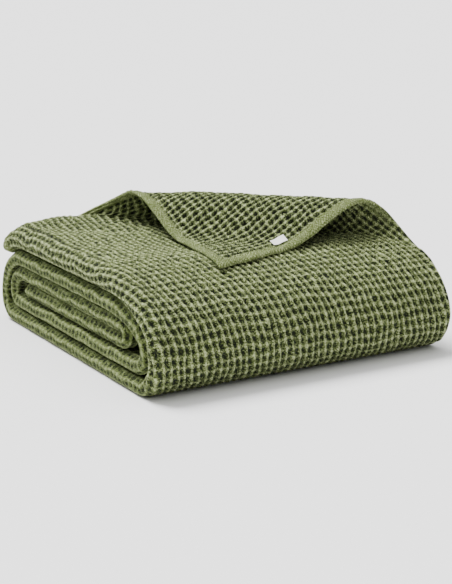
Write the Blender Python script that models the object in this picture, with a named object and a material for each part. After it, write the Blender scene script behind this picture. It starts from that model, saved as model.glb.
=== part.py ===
"""A waffle-weave cotton throw, folded for a shelf, with one corner turned back over the top.

The throw is one sheet. It is folded in half twice along its length, which makes a strip four
layers thick, and that strip is rolled flat into six layers, one on another. Seen from its left
end, the strip starts on top, turns down over the front and goes inward from there. The top
layer's free corner is curled up and laid back over the top, so that it holds a low tunnel.

Metres. X runs along the front, Y to the back and Z up. The package rests on Z = 0.
"""

import math
from collections import namedtuple

import bpy
import numpy as np

# the strip: a cloth 1.3 m wide, folded to a quarter of its width
HALF_WIDTH = 0.1625
CLOTH = 0.0029
HEM_CLOTH = 0.0035
HEM_WIDTH = 0.011
# how fast the hem's extra thickness fades, as shares of its width
HEM_FULL, HEM_FADE = 0.7, 0.6
# where the roll is tight the cloth is pressed this much thinner: at a pitch under TIGHT_PITCH,
# and in full when the pitch is less by TIGHT_RANGE
PRESSED, TIGHT_PITCH, TIGHT_RANGE = 0.0005, 0.0040, 0.0009
# the hem keeps its own thickness only where the strip is loose, so the package's base is flat
LOOSE_PITCH, LOOSE_RANGE = 0.0046, 0.0012

# the lengths of the strip that lie flat, from the top one inwards, as the strip is rolled.
# pitch is the distance from one of its four layers to the next, and left and right are how far
# the folded edges stand out from, or lie back from, the package's own ends
Lay = namedtuple("Lay", "name height pitch left right")
LAYS = (
    Lay("top", 0.0900, 0.0070, 0.000, 0.000),
    Lay("bottom", 0.0076, 0.0040, 0.000, -0.001),
    Lay("second", 0.0693, 0.0041, 0.001, -0.003),
    Lay("fifth", 0.0234, 0.0040, 0.002, -0.001),
    Lay("third", 0.0538, 0.0038, 0.003, -0.004),
    Lay("fourth", 0.0388, 0.0037, 0.004, -0.002),
)

# the turns between them. The strip leaves one lay at y_from, stands out furthest at y_reach and
# z_reach, and meets the next lay at y_to. round_left and round_right are the roundness of the
# turn's first half at the two ends: 0.55 is an ellipse and less is slacker. At the right end,
# where the roll is slacker, the turn starts from_right and sits back_right further back
Turn = namedtuple("Turn", "name y_from y_reach z_reach y_to round_left round_right from_right back_right pitch")
TURNS = (
    Turn("front shoulder", -0.046, -0.1350, 0.0300, -0.119, 0.62, 0.50, 0.000, 0.004, 0.0044),
    Turn("back, outer", 0.172, 0.1925, 0.0250, 0.150, 0.55, 0.55, 0.000, 0.000, 0.0037),
    Turn("front, middle", -0.046, -0.1155, 0.0360, -0.101, 0.57, 0.41, 0.000, 0.015, 0.0038),
    Turn("back, inner", 0.159, 0.1725, 0.0355, 0.148, 0.55, 0.55, 0.000, 0.000, 0.0037),
    Turn("front, inner", -0.059, -0.0665, 0.0463, -0.059, 0.55, 0.55, 0.030, 0.030, 0.0032),
)
ELLIPSE, OUTER_DROP_ROUND = 0.55, 0.60

# across the strip: how round its outer and inner folds are, as multiples of the pitch, and how far
# the inner right fold and the last hem lie back from the end
OUTER_FOLD, INNER_FOLD = 1.6, 0.55
INNER_FOLD_BACK, LAST_HEM_BACK = 0.003, 0.002

# the strip's two ends: the outer one drops over the back, the inner one stops inside the roll
OUTER_END, OUTER_DROP_Y, OUTER_SLOPE, OUTER_PITCH = (0.1835, 0.0750), 0.148, math.radians(60), 0.0046
INNER_END_Y = 0.140

# the turned-back corner. On the flat top layer x + y is LIFT_LINE along the line where it leaves
# the top. It curls to CREST_HEIGHT above the top, comes down over DESCENT and then lies on it
LIFT_LINE = 0.0676
CREST_HEIGHT = 0.0368
DESCENT = 0.080
FLAP_LIE = 0.0044
CREST_MID = (0.0299, 0.0258)
CREST_ANGLE = math.radians(-43.1)
# how much the cloth is drawn together along the crest and drawn out down the flap, and the length
# before the lift line in which its lie changes from the top's to the crest's
ALONG_CREST, CREST_SHIFT = 0.822, 0.0213
DOWN_FLAP = 1.134
EASE_IN = 0.020
# how far the steep part of the flap draws it back, and how far it leans to the right
DRAWN_BACK, FLAP_LEAN = 0.0091, 0.071
# where the top leaf drops over the back, it lifts over this length around the lift line
DROP_EASE, RAISE_FROM, RAISE_OVER = (0.105, 0.045), 0.015, 0.040

# the label: a bare strip, sewn in at the inner edge of the corner's hem
LABEL_ACROSS, LABEL_DOWN = (0.1435, 0.1525), (0.080, 0.099)
LABEL_THICK, LABEL_LIFT = 0.0006, 0.0004

# taken off every point at the end, so that the package stands on Z = 0, centred on the origin
BOX_MIDDLE = np.array([-0.00016, 0.02824, 0.00015])

# how finely the solid is cut: along the strip, and across each of its four layers
TOP_STEP, LAY_STEP, TURN_STEP, MOST_FEW = 0.0125, 0.100, 0.0095, 4
TOP_COLUMNS, TWISTED_COLUMNS, FOLD_COLUMNS = 24, 3, (6, 4, 4)
# the first pieces of the strip's route, which the turned-back corner takes part of
CORNER_PIECES = (0, 1, 2)
# the pieces whose left and right ends differ, which take more columns in each layer
TWISTED_PIECES = (2, 3, 8, 9)
# the stretch of the strip that makes the package's top, and in how many steps it is read
TOP_STRETCH, TOP_READINGS = (0.05, 0.40), 160


def smooth(value):
    """A soft step from 0 to 1."""
    value = np.clip(value, 0.0, 1.0)
    return value * value * (3.0 - 2.0 * value)


def bend(start, corner, end, roundness, count=24):
    """A bend from start to end, which leaves and arrives along the lines to corner."""
    start, corner, end = (np.array(point) for point in (start, corner, end))
    points = start, start + (corner - start) * roundness, end + (corner - end) * roundness, end
    t = np.linspace(0.0, 1.0, count)[:, None]
    return (
        points[0] * (1 - t) ** 3
        + 3 * points[1] * t * (1 - t) ** 2
        + 3 * points[2] * t**2 * (1 - t)
        + points[3] * t**3
    )


def flat_run(y_start, y_end, height, count=60):
    return np.column_stack([np.linspace(y_start, y_end, count), np.full(count, height)])


def strip_route(at_right):
    """The middle of the strip from its outer end inwards, as pieces that share their end points.
    Each point is y, z, the pitch, and how far the folds stand out at the left and right."""
    pieces = []

    def add(points, first, last):
        share = smooth(np.linspace(0.0, 1.0, len(points)))[:, None]
        pieces.append(np.hstack([points, np.array(first) * (1 - share) + np.array(last) * share]))

    def edges(lay, pitch=None):
        return (pitch or lay.pitch, lay.left, lay.right)

    top = LAYS[0]
    over = (OUTER_DROP_Y, top.height)
    drop = top.height - OUTER_END[1]
    corner = (OUTER_END[0] - drop / math.tan(OUTER_SLOPE), top.height)
    add(bend(OUTER_END, corner, over, OUTER_DROP_ROUND), edges(top, OUTER_PITCH), edges(top))
    y_now = OUTER_DROP_Y
    for lay, turn, following in zip(LAYS, TURNS, LAYS[1:]):
        shift = turn.back_right if at_right else 0.0
        roundness = turn.round_right if at_right else turn.round_left
        start = (turn.y_from + (turn.from_right if at_right else 0.0), lay.height)
        reach = (turn.y_reach + shift, turn.z_reach)
        end = (turn.y_to + shift, following.height)
        middle = edges(following, turn.pitch)
        add(flat_run(y_now, start[0], lay.height), edges(lay), edges(lay))
        add(bend(start, (reach[0], start[1]), reach, roundness), edges(lay), middle)
        add(bend(reach, (reach[0], end[1]), end, ELLIPSE), middle, edges(following))
        y_now = end[0]
    last = LAYS[-1]
    add(flat_run(y_now, INNER_END_Y, last.height), edges(last), edges(last))
    return pieces


class Strip:
    """The middle line of the folded strip, at its left and right ends, by length from its outer end."""

    def __init__(self):
        pieces = [strip_route(False), strip_route(True)]
        self.ends = [np.vstack([piece[:-1] for piece in route] + [route[-1][-1:]]) for route in pieces]
        both = (self.ends[0][:, :2] + self.ends[1][:, :2]) / 2
        steps = np.linalg.norm(np.diff(both, axis=0), axis=1)
        self.length_at = np.concatenate([[0.0], np.cumsum(steps)])
        self.length = self.length_at[-1]
        joins = np.cumsum([0] + [len(piece) - 1 for piece in pieces[0]])
        self.joins = self.length_at[joins]
        self.normals = []
        for route in self.ends:
            along = np.gradient(route[:, :2], self.length_at, axis=0)
            along /= np.linalg.norm(along, axis=1)[:, None]
            self.normals.append(np.column_stack([along[:, 1], -along[:, 0]]))

    def read(self, values, s):
        return np.interp(s, self.length_at, values)

    def pitch(self, s):
        return self.read(self.ends[0][:, 2], s)

    def stands_out(self, s):
        return self.read(self.ends[0][:, 3], s), self.read(self.ends[0][:, 4], s)

    def place(self, x, level, s):
        """The point of the layer that lies level above the strip's middle."""
        share = np.clip(x / HALF_WIDTH * 0.5 + 0.5, 0.0, 1.0)
        result = np.zeros((2,) + np.shape(s))
        for route, normals, weight in zip(self.ends, self.normals, (1 - share, share)):
            for axis in (0, 1):
                middle = self.read(route[:, axis], s)
                result[axis] += weight * (middle + level * self.read(normals[:, axis], s))
        return np.stack([x, result[0], result[1]])


STRIP = Strip()


def across(u, s):
    """How the sheet lies across the strip. u goes from 0 at one hem to 7 at the other: four
    layers, and between them the outer fold at the left, one at the right and the inner one."""
    pitch = STRIP.pitch(s)
    left, right = STRIP.stands_out(s)
    part = np.clip(np.floor(u), 0, 6)
    t = u - part
    sweep = np.pi * t
    outer_depth, inner_depth = OUTER_FOLD * pitch, INNER_FOLD * pitch
    outer_x = -HALF_WIDTH + left + CLOTH / 2 + outer_depth
    inner_x = outer_x - outer_depth + pitch + inner_depth
    right_x = HALF_WIDTH + right - CLOTH / 2 - INNER_FOLD_BACK - inner_depth
    first_hem, last_hem = HALF_WIDTH + right / 2, HALF_WIDTH + right - LAST_HEM_BACK
    lays = [
        (first_hem + (outer_x - first_hem) * t, np.full_like(t, 1.5)),
        (outer_x - outer_depth * np.sin(sweep), 1.5 * np.cos(sweep)),
        (outer_x + (right_x - outer_x) * t, np.full_like(t, -1.5)),
        (right_x + inner_depth * np.sin(sweep), -1.0 - 0.5 * np.cos(sweep)),
        (right_x + (inner_x - right_x) * t, np.full_like(t, -0.5)),
        (inner_x - inner_depth * np.sin(sweep), -0.5 * np.cos(sweep)),
        (inner_x + (last_hem - inner_x) * t, np.full_like(t, 0.5)),
    ]
    x = np.choose(part.astype(int), [lay[0] for lay in lays])
    level = np.choose(part.astype(int), [lay[1] for lay in lays])
    return x, level * pitch


def flap_profile(past):
    """How far on, and how high above the top, the cloth is at a length past the lift line."""
    radius = CREST_HEIGHT / 2
    curl = np.pi * radius
    angle = np.clip(past, 0.0, curl) / radius
    on = radius * np.sin(angle) + np.minimum(past, 0.0)
    up = radius * (1.0 - np.cos(angle))
    beyond = np.maximum(past - curl, 0.0)
    drop = smooth(beyond / DESCENT)
    on = on - beyond * DOWN_FLAP + drop * DRAWN_BACK
    return on, up - drop * (CREST_HEIGHT - FLAP_LIE), curl


def top_surface(x, y):
    """The height of the outermost layer over a place on the package, as far as its front shoulder."""
    s = np.linspace(*TOP_STRETCH, TOP_READINGS)
    share = np.clip(x / HALF_WIDTH * 0.5 + 0.5, 0.0, 1.0)
    heights = []
    for end in (-HALF_WIDTH, HALF_WIDTH):
        _, ys, zs = STRIP.place(np.full_like(s, end), np.full_like(s, 1.5) * STRIP.pitch(s), s)
        order = np.argsort(ys)
        heights.append(np.interp(y, ys[order], zs[order]))
    return heights[0] * (1 - share) + heights[1] * share


def lift_corner(x, s, lying):
    """Moves the top layer's points from where they lie to where the turned-back corner has them."""
    y = OUTER_DROP_Y + STRIP.joins[1] - s
    past = (x + y - LIFT_LINE) / math.sqrt(2)
    along = (x - y) / math.sqrt(2)
    on, up, curl = flap_profile(past)
    # spread flat, and turned about the lift line
    flat_x = (past + along) / math.sqrt(2) + LIFT_LINE / 2
    flat_y = (past - along) / math.sqrt(2) + LIFT_LINE / 2
    near_x = flat_x + (on - past) / math.sqrt(2)
    near_y = flat_y + (on - past) / math.sqrt(2)
    # the far side of the crest follows its own line, sheared to a sharper corner
    dir_x, dir_y = math.cos(CREST_ANGLE), math.sin(CREST_ANGLE)
    spread = (along + CREST_SHIFT) * ALONG_CREST - np.minimum(on, 0.0) * FLAP_LEAN
    far_x = CREST_MID[0] + spread * dir_x + on * -dir_y
    far_y = CREST_MID[1] + spread * dir_y + on * dir_x
    turn = smooth((past + EASE_IN) / (curl + EASE_IN))
    new_x = near_x + (far_x - near_x) * turn
    new_y = near_y + (far_y - near_y) * turn
    # over the back, where the top leaf drops, the corner lifts a little later
    late = smooth((y - DROP_EASE[0]) / DROP_EASE[1])
    ramp = smooth((past + RAISE_FROM) / RAISE_OVER)
    lift = (past > 0) * (1 - late) + ramp * late
    height = lying[2] + (top_surface(new_x, new_y) + up - lying[2]) * lift
    back = smooth((past + EASE_IN) / EASE_IN) * (1 - late) + ramp * late
    lain_x, lain_y = lying[0], lying[1]
    return np.stack([lain_x + (new_x - lain_x) * back, lain_y + (new_y - lain_y) * back, height])


def middle_of_cloth(u, s):
    """The middle of the cloth at u across and s along."""
    u, s = np.broadcast_arrays(np.asarray(u, float), np.asarray(s, float))
    x, level = across(u, s)
    place = STRIP.place(x, level, s)
    free = (u < 1.0) & (s < STRIP.joins[3])
    lifted = lift_corner(x, s, place)
    return np.where(free, lifted, place)


def thickness(u, s):
    """The cloth's thickness: a little more in the turned and stitched hems."""
    x_from_hem = np.minimum(np.abs(u), np.abs(7.0 - u)) * 2 * HALF_WIDTH
    from_hem = np.minimum(np.minimum(x_from_hem, s), STRIP.length - s)
    hem = 1.0 - smooth((from_hem / HEM_WIDTH - HEM_FULL) / HEM_FADE)
    tight = smooth((TIGHT_PITCH - STRIP.pitch(s)) / TIGHT_RANGE)
    loose = smooth((STRIP.pitch(s) - LOOSE_PITCH) / LOOSE_RANGE)
    return CLOTH - PRESSED * tight + (HEM_CLOTH - CLOTH) * hem * loose


def face_directions(u, s):
    """Unit vectors square to the cloth."""
    du, ds = 1e-4, 1e-5
    low_u, high_u = np.maximum(u - du, 0.0), np.minimum(u + du, 7.0)
    low_s, high_s = np.maximum(s - ds, 0.0), np.minimum(s + ds, STRIP.length)
    by_u = middle_of_cloth(high_u, s) - middle_of_cloth(low_u, s)
    by_s = middle_of_cloth(u, high_s) - middle_of_cloth(u, low_s)
    normal = np.cross(by_u, by_s, axis=0)
    return normal / np.linalg.norm(normal, axis=0)


def stations_along():
    """Places along the strip: close together at the turned-back corner, and a few in each turn."""
    places = [0.0]
    for i, (start, end) in enumerate(zip(STRIP.joins, STRIP.joins[1:])):
        if i in CORNER_PIECES:
            count = math.ceil((end - start) / TOP_STEP)
        else:
            step = LAY_STEP if i % 3 == 1 else TURN_STEP
            count = max(MOST_FEW, math.ceil((end - start) / step))
        places += list(np.linspace(start, end, count + 1)[1:])
    return places


def stations_across(s):
    """Places across the sheet, from hem to hem."""
    piece = int(np.searchsorted(STRIP.joins, s - 1e-6)) - 1
    inner = TWISTED_COLUMNS if {piece, piece + 1} & set(TWISTED_PIECES) else 1
    outer = TOP_COLUMNS if piece <= CORNER_PIECES[-1] else TWISTED_COLUMNS
    columns = (outer, 0, inner, 0, inner, 0, inner)
    folds = (0, FOLD_COLUMNS[0], 0, FOLD_COLUMNS[1], 0, FOLD_COLUMNS[2], 0)
    places = [0.0]
    for part in range(7):
        count = columns[part] or folds[part]
        places += [part + (i + 1) / count for i in range(count)]
    return places


def stitch_rows(first, second, first_at, second_at):
    """Triangles between two rows of points whose places across the sheet need not match."""
    faces = []
    i = j = 0
    while i < len(first) - 1 or j < len(second) - 1:
        ahead_i = first_at[i + 1] if i < len(first) - 1 else math.inf
        ahead_j = second_at[j + 1] if j < len(second) - 1 else math.inf
        if ahead_i == ahead_j:
            faces.append((first[i], first[i + 1], second[j]))
            faces.append((first[i + 1], second[j + 1], second[j]))
            i, j = i + 1, j + 1
        elif ahead_i < ahead_j:
            faces.append((first[i], first[i + 1], second[j]))
            i += 1
        else:
            faces.append((first[i], second[j + 1], second[j]))
            j += 1
    return faces


def make_throw():
    along = stations_along()
    rows_at = [stations_across(s) for s in along]
    counts = [len(row) for row in rows_at]
    starts = np.concatenate([[0], np.cumsum(counts)])
    u = np.concatenate([np.array(row) for row in rows_at])
    s = np.concatenate([np.full(count, place) for count, place in zip(counts, along)])
    middle = middle_of_cloth(u, s)
    square = face_directions(u, s)
    half = thickness(u, s) / 2
    total = len(u)
    points = np.hstack([middle + square * half, middle - square * half]).T
    rows = [list(range(starts[i], starts[i + 1])) for i in range(len(along))]
    sheet = []
    for i in range(len(along) - 1):
        sheet += stitch_rows(rows[i], rows[i + 1], rows_at[i], rows_at[i + 1])
    rim = [(rows[0][i], rows[0][i + 1]) for i in range(counts[0] - 1)]
    rim += [(rows[i][-1], rows[i + 1][-1]) for i in range(len(rows) - 1)]
    rim += [(rows[-1][i + 1], rows[-1][i]) for i in range(counts[-1] - 1)]
    rim += [(rows[i + 1][0], rows[i][0]) for i in range(len(rows) - 1)]
    faces = [tuple(face) for face in sheet]
    faces += [tuple(total + corner for corner in reversed(face)) for face in sheet]
    faces += [(b, a, total + a, total + b) for a, b in rim]
    return make_object("throw", points, faces)


def make_label():
    """A thin bare strip that follows the corner just inside its hem."""
    us = np.linspace(HALF_WIDTH - LABEL_ACROSS[1], HALF_WIDTH - LABEL_ACROSS[0], 3) / (2 * HALF_WIDTH)
    ss = np.linspace(LABEL_DOWN[0], LABEL_DOWN[1], 4)
    u, s = np.meshgrid(us, ss)
    u, s = u.ravel(), s.ravel()
    middle = middle_of_cloth(u, s)
    square = face_directions(u, s)
    clear = thickness(u, s) / 2 + LABEL_LIFT
    under = middle - square * clear
    points = np.hstack([under, under - square * LABEL_THICK]).T
    count, width = len(u), len(us)
    grid = [
        (r * width + c, r * width + c + 1, (r + 1) * width + c + 1, (r + 1) * width + c)
        for r in range(len(ss) - 1)
        for c in range(width - 1)
    ]
    edge = [c for c in range(width)]
    edge += [r * width + width - 1 for r in range(1, len(ss))]
    edge += [(len(ss) - 1) * width + c for c in range(width - 2, -1, -1)]
    edge += [r * width for r in range(len(ss) - 2, 0, -1)]
    faces = list(grid) + [tuple(count + corner for corner in reversed(face)) for face in grid]
    for a, b in zip(edge, edge[1:] + edge[:1]):
        faces.append((b, a, count + a, count + b))
    return make_object("label", points, faces)


def make_object(name, points, faces):
    mesh = bpy.data.meshes.new(name)
    mesh.from_pydata([tuple(point) for point in points - BOX_MIDDLE], [], faces)
    mesh.validate()
    thing = bpy.data.objects.new(name, mesh)
    bpy.context.scene.collection.objects.link(thing)
    mesh.shade_smooth()
    return thing


def finish_with(thing, name, colour, roughness):
    material = bpy.data.materials.new(name)
    material.use_nodes = True
    shader = material.node_tree.nodes["Principled BSDF"]
    shader.inputs["Base Color"].default_value = (*colour, 1.0)
    shader.inputs["Roughness"].default_value = roughness
    shader.inputs["Metallic"].default_value = 0.0
    thing.data.materials.append(material)


def clear_scene():
    for thing in list(bpy.data.objects):
        bpy.data.objects.remove(thing, do_unlink=True)


clear_scene()
finish_with(make_throw(), "washed green cotton", (0.145, 0.170, 0.074), 0.9)
finish_with(make_label(), "white woven tape", (0.80, 0.80, 0.78), 0.7)
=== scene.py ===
"""The folded waffle throw: its cloth, hems and label in detail, with the studio it stands in.

Metres. X runs along the front, Y to the back and Z up. u goes across the sheet from hem to hem,
0 to 7 over its four layers and three folds, and s is the length along the folded strip.
"""

import math
from collections import namedtuple

import bpy
import numpy as np
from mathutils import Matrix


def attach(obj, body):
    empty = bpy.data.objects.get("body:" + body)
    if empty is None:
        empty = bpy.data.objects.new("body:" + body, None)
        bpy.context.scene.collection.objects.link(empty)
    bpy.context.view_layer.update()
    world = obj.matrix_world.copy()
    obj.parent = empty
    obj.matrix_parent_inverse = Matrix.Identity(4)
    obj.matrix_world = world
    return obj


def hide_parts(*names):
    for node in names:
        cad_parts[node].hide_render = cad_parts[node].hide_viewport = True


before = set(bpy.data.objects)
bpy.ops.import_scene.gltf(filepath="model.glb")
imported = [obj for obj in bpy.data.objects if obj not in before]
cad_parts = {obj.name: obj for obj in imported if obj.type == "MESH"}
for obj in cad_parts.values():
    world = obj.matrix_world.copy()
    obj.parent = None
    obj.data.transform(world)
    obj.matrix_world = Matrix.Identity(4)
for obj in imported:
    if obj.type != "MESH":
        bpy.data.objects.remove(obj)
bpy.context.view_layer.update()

# The folded strip: its outer half width, and how thick its cloth is on average.
HALF_WIDTH = 0.1625
CLOTH = 0.0029

# the lengths that lie flat. pitch is the distance between the strip's four layers, left and right
# are how far along x the folded edges lie from the package's ends
Lay = namedtuple("Lay", "name height pitch left right")
LAYS = (
    Lay("top", 0.0900, 0.0070, 0.000, 0.000),
    Lay("bottom", 0.0076, 0.0040, 0.000, -0.001),
    Lay("second", 0.0693, 0.0041, 0.001, -0.003),
    Lay("fifth", 0.0234, 0.0040, 0.002, -0.001),
    Lay("third", 0.0538, 0.0038, 0.003, -0.004),
    Lay("fourth", 0.0388, 0.0037, 0.004, -0.002),
)

# the turns between them: where the strip leaves one lay, where it stands out furthest, where it
# meets the next, how round the first half is at each end, and how far it sits back at the right
Turn = namedtuple(
    "Turn", "name y_from y_reach z_reach y_to round_left round_right from_right back_right pitch"
)
TURNS = (
    Turn("front shoulder", -0.046, -0.1480, 0.0370, -0.119, 0.60, 0.50, 0.000, 0.0150, 0.0044),
    Turn("back, outer", 0.172, 0.1925, 0.0250, 0.150, 0.55, 0.55, 0.000, 0.000, 0.0037),
    Turn("front, middle", -0.046, -0.1285, 0.0380, -0.106, 0.60, 0.41, 0.000, 0.028, 0.0038),
    Turn("back, inner", 0.159, 0.1725, 0.0355, 0.148, 0.55, 0.55, 0.000, 0.000, 0.0037),
    Turn("front, inner", -0.080, -0.0900, 0.0463, -0.080, 0.55, 0.55, 0.051, 0.051, 0.0032),
)
# how round the second half of a turn is, and the drop of the strip's outer end at the back
ELLIPSE, OUTER_DROP_ROUND = 0.55, 0.60
# how deep the folded edges are, in pitches, and how far the inner fold and last hem sit back
OUTER_FOLD, INNER_FOLD = 1.6, 0.55
INNER_FOLD_BACK, LAST_HEM_BACK = 0.003, 0.002
# where the strip's outer end hangs, where its drop begins and how steep it gets
OUTER_END, OUTER_DROP_Y, OUTER_SLOPE, OUTER_PITCH = (0.1835, 0.0750), 0.148, math.radians(60), 0.0046
INNER_END_Y = 0.140
BEND_POINTS, FLAT_POINTS = 120, 60

# The turned-back corner: the line it lifts from, how high its crest stands, how long it takes to
# come down again and how high it lies then.
LIFT_LINE = 0.0676
CREST_HEIGHT = 0.0368
DESCENT = 0.080
FLAP_LIE = 0.0044
# the crest's middle and direction, and how the cloth is drawn together along it
CREST_MID = (0.0299, 0.0258)
CREST_ANGLE = math.radians(-43.1)
ALONG_CREST, CREST_SHIFT = 0.822, 0.0213
DOWN_FLAP = 1.134
DRAWN_BACK, FLAP_LEAN = 0.0091, 0.071
EASE_IN = 0.020
DROP_EASE, RAISE_FROM, RAISE_OVER = (0.105, 0.045), 0.015, 0.040
# the stretch of the strip whose height the corner is laid on
TOP_STRETCH, TOP_READINGS = (0.05, 0.40), 160
# the middle of the folded package, which goes to the origin
BOX_MIDDLE = np.array([-0.00016, 0.02824, 0.00015])

# The cloth. One waffle cell: across, and along the strip where it lies on top and where it turns down
# the front. The top's cells are drawn out by the pull of the lifted corner
CELL_ACROSS = 0.0070
CELL_ALONG = ((0.000, 0.0090), (0.220, 0.0090), (0.290, 0.0075), (2.000, 0.0075))
CELL_MEAN, CELL_READINGS = 0.0085, 2001
# down the front the columns lean by this slope, from here and over this length
LEAN, LEAN_FROM, LEAN_OVER = 0.22, 0.225, 0.16
# left of the lifted corner the rows are pulled askew: the slope, where in x it begins and over what
# length, and the stretch along the strip with how softly it begins and ends
PULL, PULL_FROM, PULL_OVER = 0.16, -0.02, 0.10
PULL_STRETCH, PULL_EASE = (0.02, 0.23), 0.05
# how the columns and the rows wander: how far, and over what length
COLUMN_DRIFT, ROW_DRIFT = (0.0010, 0.055), (0.0011, 0.060)
# how far a ridge stands above the middle of the cloth, and how far a hole goes below it
RIDGE, HOLE = 0.0018, -0.0013
RIDGE_REVERSE, HOLE_REVERSE = 0.0022, -0.0016
# a hole's floor and a ridge's top begin at these shares of the way from a hole's middle to its
# ridge, and HOLE_ROUND is how square the hole is: 2 is round
HOLE_FLOOR, RIDGE_TOP, HOLE_ROUND = 0.16, 0.86, 2.0
# how unlike each other the ridges are, and over how many cells that changes
RIDGE_UNEVEN, RIDGE_UNEVEN_CELLS = 0.13, 2.3
# the ribs that run along the strip stand higher than those across it, by this share
RIB_OVER = 0.22
# the thick soft yarn stands up in a lump where two ridges cross, and in smaller ones between
LUMP_HEIGHT, BIG_LUMP, SMALL_LUMP = 0.0003, 0.6, 0.4
LUMP_STRAY, LUMP_STRAY_CELLS = 2.0, 1.9
# how far a cell strays from its place, in cells, and over how many cells across and along
STRAY, STRAY_CELLS = 0.12, (3.1, 2.7)
# along the left fold the cloth is pressed together and the holes are this much closed, and their painted
# shade is this much lighter, from the end of the top's flat, round the fold and a little way back under,
# below the front shoulder
CLOSED, CLOSED_LESS_SHADE = 0.30, 0.16
CLOSED_FROM, CLOSED_TO, CLOSED_BELOW = (0.93, 0.07), (2.10, 0.10), 0.04

# The hem: how wide it is, half its thickness, how round its edge and how full its middle is.
HEM_WIDTH, HEM_HALF, HEM_EDGE_ROUND, HEM_CROWN = 0.0105, 0.0021, 0.0026, 0.10
# the grooves of its stitches and of the turned edge inside it: how far in, how deep and how wide
STITCH_LINE, STITCH_GROOVE, STITCH_WIDE = 0.0098, 0.0014, 0.0011
EDGE_LINE, EDGE_GROOVE, EDGE_WIDE = 0.0038, 0.0006, 0.0009
# how high its own close weave stands, and over what width it turns into the waffle
HEM_KNIT, KNIT_LUMPS, KNIT_SUNK, HEM_BLEND = 0.0009, 0.5, 0.6, 0.0022
# past the top the side hems fade out along the strip: from here, over this, away from its ends
HEM_FADE, HEM_FADE_OVER, END_HEM = 0.19, 0.08, 0.03

# Slack in the top: how high and over what length, twice, and how softly it ends at the shoulder.
SLACK = ((0.0006, 0.085), (0.0004, 0.034))
SLACK_EASE = 0.05

# creases in the top, as soft troughs and ridges: from x, y to x, y, how wide, how high
Crease = namedtuple("Crease", "x_from y_from x_to y_to wide high")
CREASES = (
    Crease(-0.128, 0.135, -0.070, 0.085, 0.012, -0.0022),
    Crease(-0.152, 0.150, -0.150, 0.070, 0.016, 0.0018),
    Crease(-0.115, 0.165, -0.040, 0.155, 0.030, 0.0060),
    Crease(-0.150, 0.095, -0.080, 0.070, 0.010, 0.0012),
    Crease(-0.110, 0.040, -0.040, -0.010, 0.020, -0.0012),
    Crease(-0.140, -0.045, -0.050, -0.055, 0.016, 0.0013),
    Crease(0.010, -0.060, 0.120, -0.075, 0.022, 0.0014),
)


def smooth(value):
    """A soft step from 0 to 1."""
    value = np.clip(value, 0.0, 1.0)
    return value * value * (3.0 - 2.0 * value)


def bend(start, corner, end, roundness):
    """A bend from start to end, which leaves and arrives along the lines to corner."""
    start, corner, end = (np.array(point) for point in (start, corner, end))
    points = start, start + (corner - start) * roundness, end + (corner - end) * roundness, end
    t = np.linspace(0.0, 1.0, BEND_POINTS)[:, None]
    return (
        points[0] * (1 - t) ** 3
        + 3 * points[1] * t * (1 - t) ** 2
        + 3 * points[2] * t**2 * (1 - t)
        + points[3] * t**3
    )


def flat_run(y_start, y_end, height):
    return np.column_stack([np.linspace(y_start, y_end, FLAT_POINTS), np.full(FLAT_POINTS, height)])


def strip_route(at_right):
    """The middle of the strip from its outer end inwards: pieces of y, z, pitch, left and right."""
    pieces = []

    def add(points, first, last):
        share = smooth(np.linspace(0.0, 1.0, len(points)))[:, None]
        pieces.append(np.hstack([points, np.array(first) * (1 - share) + np.array(last) * share]))

    def edges(lay, pitch=None):
        return (pitch or lay.pitch, lay.left, lay.right)

    top = LAYS[0]
    over = (OUTER_DROP_Y, top.height)
    drop = top.height - OUTER_END[1]
    corner = (OUTER_END[0] - drop / math.tan(OUTER_SLOPE), top.height)
    add(bend(OUTER_END, corner, over, OUTER_DROP_ROUND), edges(top, OUTER_PITCH), edges(top))
    y_now = OUTER_DROP_Y
    for lay, turn, following in zip(LAYS, TURNS, LAYS[1:]):
        shift = turn.back_right if at_right else 0.0
        roundness = turn.round_right if at_right else turn.round_left
        start = (turn.y_from + (turn.from_right if at_right else 0.0), lay.height)
        reach = (turn.y_reach + shift, turn.z_reach)
        end = (turn.y_to + shift, following.height)
        middle = edges(following, turn.pitch)
        add(flat_run(y_now, start[0], lay.height), edges(lay), edges(lay))
        add(bend(start, (reach[0], start[1]), reach, roundness), edges(lay), middle)
        add(bend(reach, (reach[0], end[1]), end, ELLIPSE), middle, edges(following))
        y_now = end[0]
    last = LAYS[-1]
    add(flat_run(y_now, INNER_END_Y, last.height), edges(last), edges(last))
    return pieces


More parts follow.
